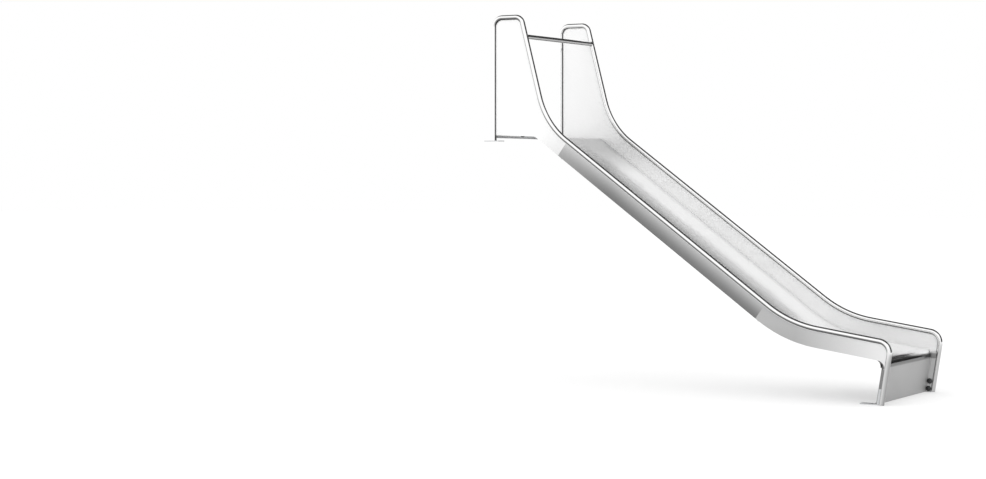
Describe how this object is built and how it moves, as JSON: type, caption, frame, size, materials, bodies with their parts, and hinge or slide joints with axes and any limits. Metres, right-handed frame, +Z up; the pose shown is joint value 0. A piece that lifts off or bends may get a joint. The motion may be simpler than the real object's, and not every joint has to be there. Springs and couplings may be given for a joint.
{
  "type": "embankment slide",
  "caption": "Wide stainless steel slide that lies on an embankment: tall start guards with a cross bar, straight bed between sheet sides, level run-out with a rolled end over an end plate.",
  "frame": {"origin": "on the exit ground, halfway across, in the middle of the lip under the end plate", "axes": "+X downhill along the slide, +Y to the left of someone who slides, +Z up"},
  "size_m": [3.3074, 1.17, 2.8638],
  "materials": {
    "bed_sheet": "polished by use along the bed, fine brushing downhill",
    "side_sheet": "satin, fine brushing along the sheet",
    "rail_tube": "polished tube",
    "fittings": "mill finish",
    "bolt_cap": "glossy black"
  },
  "bodies": {
    "root": {"start_rail_left": "rail_tube", "start_rail_right": "rail_tube", "middle_rail_left": "rail_tube", "middle_rail_right": "rail_tube", "exit_rail_left": "rail_tube", "exit_rail_right": "rail_tube", "cross_bar": "rail_tube", "start_bed": "bed_sheet", "middle_bed": "bed_sheet", "exit_bed": "bed_sheet", "start_panel_left": "side_sheet", "start_panel_right": "side_sheet", "middle_side_left": "side_sheet", "middle_side_right": "side_sheet", "exit_side_left": "side_sheet", "exit_side_right": "side_sheet", "end_plate": "side_sheet", "upper_spigot_left": "fittings", "upper_spigot_right": "fittings", "lower_spigot_left": "fittings", "lower_spigot_right": "fittings", "upper_joint_bar_a": "fittings", "upper_joint_bar_b": "fittings", "lower_joint_bar_a": "fittings", "lower_joint_bar_b": "fittings", "upper_joint_bolt_1": "fittings", "upper_joint_bolt_2": "fittings", "upper_joint_bolt_3": "fittings", "upper_joint_nut_1": "fittings", "upper_joint_nut_2": "fittings", "upper_joint_nut_3": "fittings", "lower_joint_bolt_1": "fittings", "lower_joint_bolt_2": "fittings", "lower_joint_bolt_3": "fittings", "lower_joint_nut_1": "fittings", "lower_joint_nut_2": "fittings", "lower_joint_nut_3": "fittings", "start_channel": "fittings", "slope_channel_1": "fittings", "slope_channel_2": "fittings", "runout_channel": "fittings", "start_foot_left": "fittings", "start_foot_right": "fittings", "exit_foot_left": "fittings", "exit_foot_right": "fittings", "plate_bolt_lower_left": "fittings", "plate_bolt_lower_right": "fittings", "plate_bolt_upper_left": "fittings", "plate_bolt_upper_right": "fittings", "plate_nut_lower_left": "fittings", "plate_nut_lower_right": "fittings", "plate_nut_upper_left": "fittings", "plate_nut_upper_right": "fittings", "bolt_cap_lower_left": "bolt_cap", "bolt_cap_lower_right": "bolt_cap", "bolt_cap_upper_left": "bolt_cap", "bolt_cap_upper_right": "bolt_cap"}
  },
  "joints": []
}
